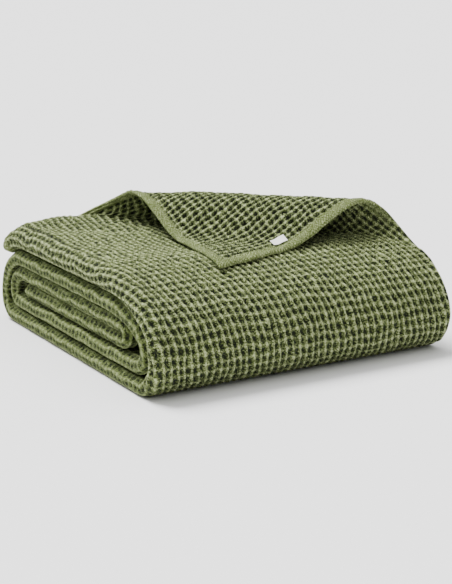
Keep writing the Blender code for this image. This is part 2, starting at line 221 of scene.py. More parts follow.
class Strip:
    """The middle line of the folded strip, at its left and right ends, by length from its outer end."""

    def __init__(self):
        pieces = [strip_route(False), strip_route(True)]
        self.ends = [np.vstack([piece[:-1] for piece in route] + [route[-1][-1:]]) for route in pieces]
        both = (self.ends[0][:, :2] + self.ends[1][:, :2]) / 2
        steps = np.linalg.norm(np.diff(both, axis=0), axis=1)
        self.length_at = np.concatenate([[0.0], np.cumsum(steps)])
        self.length = self.length_at[-1]
        joins = np.cumsum([0] + [len(piece) - 1 for piece in pieces[0]])
        self.joins = self.length_at[joins]
        self.normals = []
        for route in self.ends:
            along = np.gradient(route[:, :2], self.length_at, axis=0)
            along /= np.linalg.norm(along, axis=1)[:, None]
            self.normals.append(np.column_stack([along[:, 1], -along[:, 0]]))

    def read(self, values, s):
        return np.interp(s, self.length_at, values)

    def pitch(self, s):
        return self.read(self.ends[0][:, 2], s)

    def stands_out(self, s):
        return self.read(self.ends[0][:, 3], s), self.read(self.ends[0][:, 4], s)

    def place(self, x, level, s):
        """The point of the layer that lies level above the strip's middle."""
        share = np.clip(x / HALF_WIDTH * 0.5 + 0.5, 0.0, 1.0)
        result = np.zeros((2,) + np.shape(s))
        for route, normals, weight in zip(self.ends, self.normals, (1 - share, share)):
            for axis in (0, 1):
                middle = self.read(route[:, axis], s)
                result[axis] += weight * (middle + level * self.read(normals[:, axis], s))
        return np.stack([x, result[0], result[1]])


STRIP = Strip()
TOP_Y_AT_END = OUTER_DROP_Y + STRIP.joins[1]


def fold_sizes(s):
    """Where the layers end at the left and right, and how deep the outer and inner folds are."""
    pitch = STRIP.pitch(s)
    left, right = STRIP.stands_out(s)
    outer_depth, inner_depth = OUTER_FOLD * pitch, INNER_FOLD * pitch
    outer_x = -HALF_WIDTH + left + CLOTH / 2 + outer_depth
    inner_x = outer_x - outer_depth + pitch + inner_depth
    right_x = HALF_WIDTH + right - CLOTH / 2 - INNER_FOLD_BACK - inner_depth
    hems = HALF_WIDTH + right / 2, HALF_WIDTH + right - LAST_HEM_BACK
    return pitch, outer_depth, inner_depth, outer_x, inner_x, right_x, hems


def across(u, s):
    """How the sheet lies across the strip."""
    pitch, outer_depth, inner_depth, outer_x, inner_x, right_x, hems = fold_sizes(s)
    part = np.clip(np.floor(u), 0, 6)
    t = u - part
    sweep = np.pi * t
    lays = [
        (hems[0] + (outer_x - hems[0]) * t, np.full_like(t, 1.5)),
        (outer_x - outer_depth * np.sin(sweep), 1.5 * np.cos(sweep)),
        (outer_x + (right_x - outer_x) * t, np.full_like(t, -1.5)),
        (right_x + inner_depth * np.sin(sweep), -1.0 - 0.5 * np.cos(sweep)),
        (right_x + (inner_x - right_x) * t, np.full_like(t, -0.5)),
        (inner_x - inner_depth * np.sin(sweep), -0.5 * np.cos(sweep)),
        (inner_x + (hems[1] - inner_x) * t, np.full_like(t, 0.5)),
    ]
    x = np.choose(part.astype(int), [lay[0] for lay in lays])
    level = np.choose(part.astype(int), [lay[1] for lay in lays])
    return x, level * pitch


def length_across(u, s):
    """The cloth's length from the hem at u 0, and from the hem at u 7."""
    pitch, outer_depth, inner_depth, outer_x, inner_x, right_x, hems = fold_sizes(s)

    def half_round(depth, half_height):
        return np.pi * np.sqrt((depth**2 + half_height**2) / 2)

    lengths = (
        hems[0] - outer_x,
        half_round(outer_depth, 1.5 * pitch),
        right_x - outer_x,
        half_round(inner_depth, 0.5 * pitch),
        right_x - inner_x,
        half_round(inner_depth, 0.5 * pitch),
        hems[1] - inner_x,
    )
    run = sum(length * np.clip(u - i, 0.0, 1.0) for i, length in enumerate(lengths))
    return run, sum(lengths) - run


def flap_profile(past):
    """How far on, and how high above the top, the cloth is at a length past the lift line."""
    radius = CREST_HEIGHT / 2
    curl = np.pi * radius
    angle = np.clip(past, 0.0, curl) / radius
    on = radius * np.sin(angle) + np.minimum(past, 0.0)
    up = radius * (1.0 - np.cos(angle))
    beyond = np.maximum(past - curl, 0.0)
    drop = smooth(beyond / DESCENT)
    on = on - beyond * DOWN_FLAP + DRAWN_BACK * drop
    return on, up - drop * (CREST_HEIGHT - FLAP_LIE), curl


def top_surface(x, y):
    """The height of the outermost layer over a place on the package, as far as its front shoulder."""
    s = np.linspace(*TOP_STRETCH, TOP_READINGS)
    share = np.clip(x / HALF_WIDTH * 0.5 + 0.5, 0.0, 1.0)
    heights = []
    for end in (-HALF_WIDTH, HALF_WIDTH):
        _, ys, zs = STRIP.place(np.full_like(s, end), np.full_like(s, 1.5) * STRIP.pitch(s), s)
        order = np.argsort(ys)
        heights.append(np.interp(y, ys[order], zs[order]))
    return heights[0] * (1 - share) + heights[1] * share


def past_lift_line(x, s):
    """How far a flat place of the top layer lies beyond the line where the corner lifts off."""
    return (x + TOP_Y_AT_END - s - LIFT_LINE) / math.sqrt(2)


def lift_corner(x, s, lying):
    """Moves the top layer's points from where they lie to where the turned-back corner has them."""
    y = TOP_Y_AT_END - s
    past = past_lift_line(x, s)
    along = (x - y) / math.sqrt(2)
    on, up, curl = flap_profile(past)
    flat_x = (past + along) / math.sqrt(2) + LIFT_LINE / 2
    flat_y = (past - along) / math.sqrt(2) + LIFT_LINE / 2
    near_x = flat_x + (on - past) / math.sqrt(2)
    near_y = flat_y + (on - past) / math.sqrt(2)
    dir_x, dir_y = math.cos(CREST_ANGLE), math.sin(CREST_ANGLE)
    spread = (along + CREST_SHIFT) * ALONG_CREST - np.minimum(on, 0.0) * FLAP_LEAN
    far_x = CREST_MID[0] + spread * dir_x + on * -dir_y
    far_y = CREST_MID[1] + spread * dir_y + on * dir_x
    turn = smooth((past + EASE_IN) / (curl + EASE_IN))
    new_x = near_x + (far_x - near_x) * turn
    new_y = near_y + (far_y - near_y) * turn
    # over the back, where the top leaf drops, the corner lifts a little later
    late = smooth((y - DROP_EASE[0]) / DROP_EASE[1])
    ramp = smooth((past + RAISE_FROM) / RAISE_OVER)
    lift = (past > 0) * (1 - late) + ramp * late
    height = lying[2] + (top_surface(new_x, new_y) + up - lying[2]) * lift
    back = smooth((past + EASE_IN) / EASE_IN) * (1 - late) + ramp * late
    return np.stack([lying[0] + (new_x - lying[0]) * back, lying[1] + (new_y - lying[1]) * back, height])


def middle_of_cloth(u, s):
    """The middle of the cloth at u across and s along."""
    x, level = across(u, s)
    place = STRIP.place(x, level, s)
    lifted = lift_corner(x, s, place)
    return np.where((u < 1.0) & (s < STRIP.joins[3]), lifted, place)


def face_directions(u, s):
    """Unit vectors square to the cloth."""
    du, ds, tiny = 6e-4, 2e-4, 1e-12
    low_u, high_u = np.maximum(u - du, 0.0), np.minimum(u + du, 7.0)
    low_s, high_s = np.maximum(s - ds, 0.0), np.minimum(s + ds, STRIP.length)
    by_u = middle_of_cloth(high_u, s) - middle_of_cloth(low_u, s)
    by_s = middle_of_cloth(u, high_s) - middle_of_cloth(u, low_s)
    normal = np.cross(by_u, by_s, axis=0)
    return normal / np.maximum(np.linalg.norm(normal, axis=0), tiny)


def ripple(a, b, scale, seed):
    """Soft unevenness between about -1 and 1, over distances of about scale: five crossing waves,
    each turned by the golden angle and a little shorter than the last."""
    total = 0.0
    for i in range(5):
        angle = seed * 1.7 + i * 2.399
        k = 2 * np.pi / scale * (0.7 + 0.25 * i)
        total = total + np.sin((a * np.cos(angle) + b * np.sin(angle)) * k + seed * 3.1 + i * 1.9)
    return total / 3.0


def weave_place(x_length, x, u, s):
    """Which waffle cell a place is in: how many cells across from the hem, and along from the end."""
    at = [row[0] for row in CELL_ALONG]
    rate = [1.0 / row[1] for row in CELL_ALONG]
    fine = np.linspace(0.0, at[-1], CELL_READINGS)
    count = np.concatenate([[0.0], np.cumsum(np.diff(fine) * np.interp(fine[1:], at, rate))])
    lean = LEAN * np.clip(s - LEAN_FROM, 0.0, LEAN_OVER) * (u < 2.0)
    pulled = smooth((PULL_FROM - x) / PULL_OVER) * (u < 1.0)
    pulled = pulled * smooth((PULL_STRETCH[1] - s) / PULL_EASE) * smooth((s - PULL_STRETCH[0]) / PULL_EASE)
    wander = COLUMN_DRIFT[0] * ripple(x_length, s, COLUMN_DRIFT[1], 1.0)
    cell_x = (x_length + lean + wander) / CELL_ACROSS
    wander = ROW_DRIFT[0] * ripple(x_length, s, ROW_DRIFT[1], 2.0)
    cell_s = np.interp(s, fine, count) + (wander - PULL * (x - PULL_FROM) * pulled) / CELL_MEAN
    # no two cells are quite alike
    stray_x = STRAY * ripple(cell_x, cell_s, STRAY_CELLS[0], 3.0)
    stray_s = STRAY * ripple(cell_x, cell_s, STRAY_CELLS[1], 5.0)
    return cell_x + stray_x, cell_s + stray_s


def waffle(cell_x, cell_s):
    """The height of the waffle weave, 0 in the middle of a hole and 1 on a ridge, and the lumps of
    the yarn along the ridges."""
    a = np.abs(2 * (cell_x % 1.0) - 1)
    b = np.abs(2 * (cell_s % 1.0) - 1)
    wall = (a**HOLE_ROUND + b**HOLE_ROUND) ** (1 / HOLE_ROUND)
    wall = wall + RIDGE_UNEVEN * ripple(cell_x, cell_s, RIDGE_UNEVEN_CELLS, 4.0)
    height = smooth((wall - HOLE_FLOOR) / (RIDGE_TOP - HOLE_FLOOR))
    height = height * (1.0 - RIB_OVER * smooth((b - a) / 0.5 + 0.5))
    place = np.where(a > b, cell_s, cell_x) * 2 * np.pi
    stray = LUMP_STRAY * ripple(cell_x, cell_s, LUMP_STRAY_CELLS, 8.0)
    lumps = (BIG_LUMP * np.cos(place) + SMALL_LUMP * np.cos(2 * place + stray)) * height
    return height, lumps


def rounded_edge(from_hem):
    """The share of its thickness that the cloth has near its edge."""
    return np.sqrt(np.clip(1 - (1 - np.clip(from_hem / HEM_EDGE_ROUND, 0, 1)) ** 2, 0, 1))


def hem_profile(from_hem):
    """The height of one face of the hem above the middle of the cloth."""
    crown = 1.0 + HEM_CROWN * np.sin(np.pi * np.clip(from_hem / HEM_WIDTH, 0, 1))
    groove = np.exp(-(((from_hem - STITCH_LINE) / STITCH_WIDE) ** 2)) * STITCH_GROOVE
    groove = groove + np.exp(-(((from_hem - EDGE_LINE) / EDGE_WIDE) ** 2)) * EDGE_GROOVE
    return HEM_HALF * rounded_edge(from_hem) * crown - groove


def slack_of_top(x, s):
    """How far the slack and the creases lift the loose top layer."""
    slack = sum(high * ripple(x, s, over, seed) for (high, over), seed in zip(SLACK, (5.0, 6.0)))
    y = TOP_Y_AT_END - s
    for crease in CREASES:
        from_point = np.array([crease.x_from, crease.y_from])
        run = np.array([crease.x_to, crease.y_to]) - from_point
        length = np.linalg.norm(run)
        run = run / length
        t = ((x - from_point[0]) * run[0] + (y - from_point[1]) * run[1]) / length
        t = np.clip(t, 0.0, 1.0)
        off_x = x - from_point[0] - t * run[0] * length
        off_y = y - from_point[1] - t * run[1] * length
        slack = slack + crease.high * np.exp(-((np.hypot(off_x, off_y) / crease.wide) ** 2))
    return slack


def cloth_face(u, s, side, carved):
    """Points of one face of the cloth. side is 1 for its face and -1 for its reverse. Where the
    weave is carved the holes are in the surface, and elsewhere they are left to the finish."""
    x, _ = across(u, s)
    from_first, from_last = length_across(u, s)
    from_hem = np.minimum(np.minimum(from_first, from_last), np.minimum(s, STRIP.length - s))
    cell_x, cell_s = weave_place(from_first, x, u, s)
    if side < 0:
        cell_x, cell_s = cell_x + 0.5, cell_s + 0.5
    ridge, hole = (RIDGE, HOLE) if side > 0 else (RIDGE_REVERSE, HOLE_REVERSE)
    height, lumps = waffle(cell_x, cell_s)
    closed = smooth((u - CLOSED_FROM[0]) / CLOSED_FROM[1]) * smooth((CLOSED_TO[0] - u) / CLOSED_TO[1])
    closed = closed * smooth((s - STRIP.joins[3]) / CLOSED_BELOW)
    height = height + (1.0 - height) * CLOSED * closed
    woven = hole + (ridge - hole) * height + LUMP_HEIGHT * lumps
    rise = woven if carved else np.full_like(x, CLOTH / 2)
    # down the front and in the roll the weave runs on over the folded edge
    edge = rounded_edge(from_hem)
    shown = 1.0 - smooth((s - HEM_FADE) / HEM_FADE_OVER) * (s > from_hem + END_HEM)
    hem = (1.0 - smooth((from_hem - STITCH_LINE) / HEM_BLEND)) * shown
    knit = HEM_KNIT * (height + KNIT_LUMPS * lumps - KNIT_SUNK)
    rise = rise * (1 - hem) * edge + (hem_profile(from_hem) + knit * carved * edge) * hem
    middle = middle_of_cloth(u, s)
    square = face_directions(u, s)
    loose = (u < 1.0) * smooth((STRIP.joins[3] - s) / SLACK_EASE)
    points = middle + square * (rise * side + slack_of_top(x, s) * loose)
    return points, cell_x, cell_s, hem, closed


def grid_faces(rows, columns):
    """The four-cornered faces between rows and columns of points."""
    index = np.arange(rows * columns).reshape(rows, columns)
    corners = [index[:-1, :-1], index[:-1, 1:], index[1:, 1:], index[1:, :-1]]
    return np.stack(corners, -1).reshape(-1, 4)


def cloth_piece(name, us, ss, side=1, carved=True, keep=None, material=None):
    """One face of a stretch of the throw's cloth, as an open sheet over rows and columns of points."""
    u, s = np.meshgrid(us, ss)
    points, cell_x, cell_s, hem, closed = cloth_face(u, s, side, carved)
    points = points.reshape(3, -1).T - BOX_MIDDLE
    rows, columns = u.shape
    quads = grid_faces(rows, columns)
    if side < 0:
        quads = quads[:, ::-1]
    if keep is not None:
        quads = quads[keep(u, s).reshape(-1)[quads].all(axis=1)]
        used = np.zeros(len(points), bool)
        used[quads.ravel()] = True
        renumber = np.cumsum(used) - 1
        quads, points = renumber[quads], points[used]
        kept = [values.reshape(-1)[used] for values in (cell_x, cell_s, hem, closed)]
        cell_x, cell_s, hem, closed = kept
    mesh = bpy.data.meshes.new(name)
    mesh.vertices.add(len(points))
    mesh.vertices.foreach_set("co", points.astype(np.float32).ravel())
    mesh.loops.add(quads.size)
    mesh.loops.foreach_set("vertex_index", quads.astype(np.int32).ravel())
    mesh.polygons.add(len(quads))
    mesh.polygons.foreach_set("loop_start", np.arange(0, quads.size, 4, dtype=np.int32))
    mesh.polygons.foreach_set("loop_total", np.full(len(quads), 4, dtype=np.int32))
    mesh.update(calc_edges=True)
    weave = mesh.uv_layers.new(name="weave")
    cells = np.stack([cell_x.ravel(), cell_s.ravel()], -1)[quads.ravel()]
    weave.data.foreach_set("uv", cells.astype(np.float32).ravel())
    marks = {"hem": hem, "closed": closed, "carved": np.full(len(points), float(carved))}
    for mark, values in marks.items():
        attribute = mesh.attributes.new(mark, "FLOAT", "POINT")
        attribute.data.foreach_set("value", values.astype(np.float32).ravel())
    mesh.shade_smooth()
    piece = bpy.data.objects.new(name, mesh)
    bpy.context.scene.collection.objects.link(piece)
    mesh.materials.append(material)
    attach(piece, "root")
    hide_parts("throw")
    return piece


def linear(hex_colour):
    """An sRGB hex colour as the linear values that shaders take."""
    channels = [int(hex_colour[i : i + 2], 16) / 255 for i in (1, 3, 5)]
    return tuple(c / 12.92 if c <= 0.04045 else ((c + 0.055) / 1.055) ** 2.4 for c in channels) + (1.0,)


def add_node(tree, kind, settings=None, **links):
    """Adds a node, sets its properties and inputs, and links its inputs to other nodes' outputs. An
    input is called by its name, or by i and its number."""
    node = tree.nodes.new(kind)
    for key, value in (settings or {}).items():
        if isinstance(key, int) or (key in node.inputs and not hasattr(node, key)):
            node.inputs[key].default_value = value
        else:
            setattr(node, key, value)
    for key, source in links.items():
        numbered = key[0] == "i" and key[1:].isdigit()
        socket = int(key[1:]) if numbered else key.replace("_", " ")
        tree.links.new(source, node.inputs[socket])
    return node


def maths(tree, operation, first, second=None, third=None):
    """A sum on numbers or on other nodes' outputs."""
    node = tree.nodes.new("ShaderNodeMath")
    node.operation = operation
    for i, value in enumerate((first, second, third)):
        if value is None:
            continue
        if isinstance(value, (int, float)):
            node.inputs[i].default_value = value
        else:
            tree.links.new(value, node.inputs[i])
    return node.outputs[0]


def mix_values(tree, share, first, second):
    """One number turning into another."""
    return maths(tree, "MULTIPLY_ADD", maths(tree, "SUBTRACT", second, first), share, first)


def mix(tree, share, first, second):
    """One colour turning into another."""
    node = tree.nodes.new("ShaderNodeMix")
    node.data_type = "RGBA"
    for socket, value in ((node.inputs[0], share), (node.inputs[6], first), (node.inputs[7], second)):
        if hasattr(value, "is_linked") or hasattr(value, "links"):
            tree.links.new(value, socket)
        else:
            socket.default_value = value
    return node.outputs[2]


# The cotton's finish. Its patterns run in waffle cells, so each size is divided into a cell: the tufts of
# fuzz on the yarn, the patches where the painted shade in the holes is wider or narrower, and the clouds
# of the wash.
TUFT, PATCH, CLOUD = 0.0012963, 0.0082353, 0.04375
# how strongly each shows: the tufts as a factor and an offset, the patches, and the wash as how
# light the cloth is at its darkest and how much lighter it gets
TUFTS, PATCHES, WASH = (4.6, -2.28), 0.9, (0.82, 0.36)
# how much paler the ribs along the strip and the lumps of the yarn are
PALE_RIBS, PALE_LUMPS = 0.14, 0.16
# from the middle of a hole, 0, to the ridge, 1: where the painted shade of the hole turns into the wall,
# and the wall into the ridge's top, paler from wear and a painted highlight. A pressed hole's ridge has
# this much less of both
PAINTED_HOLE_SHADE, RIDGE_WEAR_AND_HIGHLIGHT, PRESSED_WEAR_AND_HIGHLIGHT = (0.46, 0.96), (0.83, 1.75), -0.55
# the hem's threads in each cell, across and along. The real ones are about 1 mm apart, and these
# are drawn three times as coarse, so that they show
HEM_THREADS, HEM_PALE, HEM_THREAD_PALE = (2.0, 2.5), 0.08, 0.34
# the height in the bump, in steps of 1 mm: uncarved holes, lumps, tufts, and the hem's threads
BUMP_STEP, BUMP_HOLES, BUMP_LUMPS, BUMP_TUFTS = 0.0010, 3.0, 0.20, 2.2
BUMP_HEM_THREADS, BUMP_HEM_TUFTS = 0.5, 2.4


def soft_noise(tree, place, size, detail, roughness):
    """Noise over the waffle cells, with spots of about size."""
    settings = {"Scale": CELL_ACROSS / size, "Detail": detail, "Roughness": roughness}
    return add_node(tree, "ShaderNodeTexNoise", settings, Vector=place.outputs[0]).outputs["Fac"]


def soft_ramp(tree, value, start, end):
    """A soft step from 0 to 1 as a value goes from start to end."""
    settings = {"interpolation_type": "SMOOTHSTEP", 1: start, 2: end}
    return add_node(tree, "ShaderNodeMapRange", settings, i0=value).outputs[0]


def washed_waffle_cotton(name, ridge, middle, hole, wider=0.0):
    """Stonewashed sage green cotton in a waffle weave: matt and thirsty, paler on the ridges from wear and
    a painted highlight, and deep green in the holes with painted shade, with the steps of its soft thick
    yarn along each ridge. wider is how much wider than the face's the painted shade in the holes is, as a
    share of half a cell."""
    material = bpy.data.materials.new(name)
    material.use_nodes = True
    tree = material.node_tree
    shader = tree.nodes["Principled BSDF"]
    place = add_node(tree, "ShaderNodeUVMap", {"uv_map": "weave"})
    cells = add_node(tree, "ShaderNodeSeparateXYZ", i0=place.outputs[0])
    hem = add_node(tree, "ShaderNodeAttribute", {"attribute_name": "hem"}).outputs["Fac"]
    carved = add_node(tree, "ShaderNodeAttribute", {"attribute_name": "carved"}).outputs["Fac"]
    closed = add_node(tree, "ShaderNodeAttribute", {"attribute_name": "closed"}).outputs["Fac"]

    def from_middle(value):
        part = maths(tree, "FRACT", value)
        return maths(tree, "ABSOLUTE", maths(tree, "MULTIPLY_ADD", part, 2.0, -1.0))

    a, b = from_middle(cells.outputs[0]), from_middle(cells.outputs[1])
    both = maths(tree, "ADD", maths(tree, "POWER", a, HOLE_ROUND), maths(tree, "POWER", b, HOLE_ROUND))
    wall = maths(tree, "POWER", both, 1 / HOLE_ROUND)
    # the lumps of yarn along each ridge
    on_column = maths(tree, "GREATER_THAN", a, b)
    along_ridge = mix_values(tree, on_column, cells.outputs[0], cells.outputs[1])
    big = maths(tree, "COSINE", maths(tree, "MULTIPLY", along_ridge, 2 * math.pi))
    small = maths(tree, "COSINE", maths(tree, "MULTIPLY", along_ridge, 4 * math.pi))
    yarn = maths(tree, "MULTIPLY_ADD", big, BIG_LUMP, maths(tree, "MULTIPLY", small, SMALL_LUMP))
    # the hem is close and plain
    threads_across, threads_along = (
        maths(tree, "SINE", maths(tree, "MULTIPLY", cells.outputs[i], 2 * math.pi * HEM_THREADS[i]))
        for i in (0, 1)
    )
    plain = maths(tree, "MULTIPLY", threads_across, threads_along)
    fuzz = soft_noise(tree, place, TUFT, detail=3.0, roughness=0.85)
    cloud = soft_noise(tree, place, CLOUD, detail=3.0, roughness=0.55)
    # the tufts, as flecks in the painted shade of the holes, in the painted highlight of the ridges and in
    # the hem's tone
    flecks = maths(tree, "MULTIPLY_ADD", fuzz, *TUFTS)
    # in some holes the painted shade is wide and dark, and in others nearly gone
    patch = soft_noise(tree, place, PATCH, detail=2.0, roughness=0.5)
    odd = maths(tree, "SUBTRACT", patch, 0.5)
    flecks = maths(tree, "MULTIPLY_ADD", odd, PATCHES, flecks)
    ribs = maths(tree, "MULTIPLY", on_column, PALE_RIBS)
    depth = maths(tree, "ADD", wall, ribs)
    depth = maths(tree, "ADD", depth, maths(tree, "MULTIPLY_ADD", yarn, PALE_LUMPS, flecks))
    # the painted shade in the holes: nearly black green in their middles, turning into the cloth's green
    # on the walls, and less where the cloth is pressed
    filled = maths(tree, "MULTIPLY_ADD", closed, CLOSED_LESS_SHADE, depth)
    hole_shade_share = soft_ramp(tree, filled, PAINTED_HOLE_SHADE[0] + wider, PAINTED_HOLE_SHADE[1] + wider)
    woven = mix(tree, hole_shade_share, linear(hole), linear(middle))
    # the ridges' tops are paler, from wear and a painted highlight, and less so where the cloth is pressed
    wear_and_highlight = soft_ramp(tree, depth, RIDGE_WEAR_AND_HIGHLIGHT[0] + wider, RIDGE_WEAR_AND_HIGHLIGHT[1] + wider)
    wear_and_highlight = maths(tree, "MULTIPLY", wear_and_highlight, maths(tree, "MULTIPLY_ADD", closed, PRESSED_WEAR_AND_HIGHLIGHT, 1.0))
    woven = mix(tree, wear_and_highlight, woven, linear(ridge))
    hem_tone = maths(tree, "ADD", maths(tree, "MULTIPLY_ADD", plain, HEM_THREAD_PALE, HEM_PALE), flecks)
    banded = mix(tree, hem_tone, linear(middle), linear(ridge))
    colour = mix(tree, hem, woven, banded)
    washed = maths(tree, "MULTIPLY_ADD", cloud, WASH[1], WASH[0])
    scale = {"operation": "SCALE"}
    colour = add_node(tree, "ShaderNodeVectorMath", scale, i0=colour, Scale=washed).outputs[0]
    tree.links.new(colour, shader.inputs["Base Color"])
    shader.inputs["Metallic"].default_value = 0.0
    shader.inputs["Roughness"].default_value = 0.92
    shader.inputs["IOR"].default_value = 1.47
    shader.inputs["Specular IOR Level"].default_value = 0.25
    shader.inputs["Sheen Weight"].default_value = 0.05
    shader.inputs["Sheen Roughness"].default_value = 0.6
    # where the holes aren't carved they are in the bump, and the yarn is everywhere
    uncarved = maths(tree, "MULTIPLY", wall, maths(tree, "SUBTRACT", 1.0, carved))
    holes = maths(tree, "MULTIPLY", uncarved, BUMP_HOLES)
    threads = maths(tree, "MULTIPLY", yarn, BUMP_LUMPS)
    threads = maths(tree, "ADD", threads, maths(tree, "MULTIPLY", fuzz, BUMP_TUFTS))
    body = maths(tree, "MULTIPLY", maths(tree, "ADD", holes, threads), maths(tree, "SUBTRACT", 1.0, hem))
    tufts = maths(tree, "MULTIPLY", fuzz, BUMP_HEM_TUFTS)
    edge = maths(tree, "MULTIPLY", maths(tree, "MULTIPLY_ADD", plain, BUMP_HEM_THREADS, tufts), hem)
    height = maths(tree, "ADD", body, edge)
    bump = add_node(tree, "ShaderNodeBump", {"Strength": 1.0, "Distance": BUMP_STEP}, Height=height)
    tree.links.new(bump.outputs[0], shader.inputs["Normal"])
    return material


# The label's tape: cross ribs about a third of a millimetre apart, which is as fine as the real ones,
# and faint clouds where it is less bleached.
TAPE_RIB, TAPE_CLOUD, TAPE_SHADE = 0.00034907, 0.0083333, "#d9d9d3"


def label_tape(name, colour):
    """White woven label tape: smooth, close and slightly shiny, with fine cross ribs."""
    material = bpy.data.materials.new(name)
    material.use_nodes = True
    tree = material.node_tree
    shader = tree.nodes["Principled BSDF"]
    place = add_node(tree, "ShaderNodeTexCoord").outputs["Object"]
    # a wave texture of scale 1 has a wave every 2 pi / 20
    waves = {"Scale": 2 * math.pi / 20 / TAPE_RIB, "Distortion": 0.4}
    ribs = add_node(tree, "ShaderNodeTexWave", waves, Vector=place)
    cloud = add_node(tree, "ShaderNodeTexNoise", {"Scale": 1 / TAPE_CLOUD, "Detail": 3.0}, Vector=place)
    share = maths(tree, "MULTIPLY", cloud.outputs["Fac"], 0.5)
    tree.links.new(mix(tree, share, linear(colour), linear(TAPE_SHADE)), shader.inputs["Base Color"])
    shader.inputs["Roughness"].default_value = 0.55
    shader.inputs["IOR"].default_value = 1.5
    low = {"Strength": 0.3, "Distance": 0.0001}
    bump = add_node(tree, "ShaderNodeBump", low, Height=ribs.outputs["Fac"])
    tree.links.new(bump.outputs[0], shader.inputs["Normal"])
    return material


# Sage green cotton: ridges pale from wear and a painted highlight, a green middle, and holes nearly black
# green, the cloth's deeper green with painted shade. On the reverse of the same cloth the holes are
# deeper, and their painted shade is wider.
SAGE = "#c5d098", "#5b692e", "#121a03"
COTTON = washed_waffle_cotton("sage waffle cotton", *SAGE)
REVERSE = washed_waffle_cotton("sage waffle cotton, reverse", *SAGE, wider=0.08)
TAPE = label_tape("white label tape", "#f4f4f0")


def steps(start, end, step):
    """Even places from start to end, about step apart."""
    return np.linspace(start, end, max(2, int(round((end - start) / step)) + 1))


# How long a lay is from hem to fold, and the cloth in the top's left fold. LAY_NEARLY is near enough
# for the spacing of points
LAY_LENGTH, LEFT_FOLD_LENGTH, LAY_NEARLY = 0.3124, 0.034, 0.31
# close places at a hem's rounded edge, and the least gap to the next
HEM_PLACES, HEM_GAP = np.array([0.0, 0.0002, 0.0006, 0.0012, 0.0020]), 0.0003


def hem_first(places):
    """Adds close places at a hem's rounded edge."""
    return np.concatenate([HEM_PLACES, places[places > HEM_PLACES[-1] + HEM_GAP]])


def columns_from_hem(step, upto=1.0):
    """Columns from the hem over the share upto of a lay."""
    return hem_first(steps(0.0, LAY_LENGTH * upto, step)) / LAY_LENGTH


def columns_over_fold(fold, beside, step, places):
    """Columns round the folded edge from fold to fold + 1, with the share beside of each lay."""
    flat = steps(0, beside, step / LAY_NEARLY)
    return np.concatenate([fold - beside + flat, fold + steps(0, 1, 1 / places)[1:], fold + 1 + flat[1:]])


def columns_over(*stretches):
    """Columns over stretches of u, each from, to and how many."""
    return np.concatenate([np.linspace(*stretch) for stretch in stretches])


def past_the_lift(margin):
    """Keeps the part of a layer beyond the lift line, and the margin before it."""

    def keep(u, s):
        x, _ = across(u, s)
        return past_lift_line(x, s) > -margin

    return keep


def lay_cloth(name, us, ss, flat, area=None, **how):
    """Lays a piece in the face's finish, or in the reverse's where side is -1. flat, how wide and long it
    was when flat, is not used.
    """
    finish = REVERSE if how.get("side") == -1 else COTTON
    piece = cloth_piece(name, us, ss, material=finish, **how)


# The stretches of the strip, by their length from its outer end: the hemmed end, the top with the
# turned-back corner, the front down to where the roll begins, and the turns at the back.
END_STRETCH, TOP_END, CORNER_END, UNDER_START, UNDER_END = 0.034, 0.235, 0.310, 0.032, 0.32
FRONT_END = float(STRIP.joins[4]) + 0.012
BACK_START, BACK_END = float(STRIP.joins[5]) - 0.03, float(STRIP.joins[7]) + 0.02
REVERSE_START, ROLL_END = 0.30, float(STRIP.length)
# how far apart the points are on the weave that shows, across, along the top and down the front
FINE_ACROSS, FINE_TOP, FINE_FRONT = 0.00096, 0.00104, 0.00098


def lay_top_and_front():
    """The top layer with its left fold, as far as the front's lower edge, and the turned-back corner."""
    fold = 1.0 + steps(0, 1, FINE_ACROSS / LEFT_FOLD_LENGTH)[1:]
    columns = columns_from_hem(FINE_ACROSS)
    wide = np.concatenate([columns, fold])
    top = hem_first(steps(0.0, TOP_END, FINE_TOP))
    front = steps(TOP_END, FRONT_END, FINE_FRONT)
    lay_cloth("top_leaf", wide, top, flat=(0.347, TOP_END))
    lay_cloth("front_drop", wide, front, flat=(0.345, front[-1] - TOP_END))
    rows = np.concatenate([top, front[1:]])
    rows = rows[rows < CORNER_END]
    corner = {"side": -1, "keep": past_the_lift(margin=0.030)}
    lay_cloth("turned_back_corner", columns, rows, flat=(0.31, 0.31), area=0.048, **corner)
    coarser, before_last_hem = 0.0014, 0.91
    rows = steps(UNDER_START, UNDER_END, coarser)
    columns = 6.0 + steps(0, before_last_hem, coarser / LAY_NEARLY)
    under = {"side": -1, "keep": past_the_lift(margin=0.040)}
    lay_cloth("under_the_corner", columns, rows, flat=(0.31, 0.32), area=0.055, **under)


def lay_ends_of_roll():
    """The folded edges and hems that show as a flat spiral at the left and right ends."""
    length = ROLL_END - FRONT_END
    columns = columns_over_fold(1.0, beside=0.035, step=0.0014, places=20)
    rows = steps(FRONT_END, ROLL_END, step=0.00115)
    lay_cloth("left_folds", columns, rows, flat=(0.042, length))
    hem, seen_of_reverse = columns_from_hem(step=0.0014, upto=0.07), 14
    rows = steps(FRONT_END, ROLL_END, step=0.0017)
    lay_cloth("right_hem", hem, rows, flat=(0.022, length))
    hem, rows = hem[:seen_of_reverse], steps(REVERSE_START, ROLL_END, step=0.0025)
    lay_cloth("right_hem_reverse", hem, rows, flat=(0.016, ROLL_END - REVERSE_START), side=-1)
    columns = columns_over_fold(3.0, beside=0.05, step=0.0016, places=8)
    rows = steps(0.0, ROLL_END, step=0.0017)
    lay_cloth("right_folds", columns, rows, flat=(0.039, ROLL_END))
    hem = 7.0 - columns_from_hem(step=0.0020, upto=0.095)[::-1]
    rows = steps(0.0, ROLL_END, step=0.0026)
    for name, side in (("last_hem", 1), ("last_hem_reverse", -1)):
        lay_cloth(name, hem, rows, flat=(0.0295, ROLL_END), side=side)


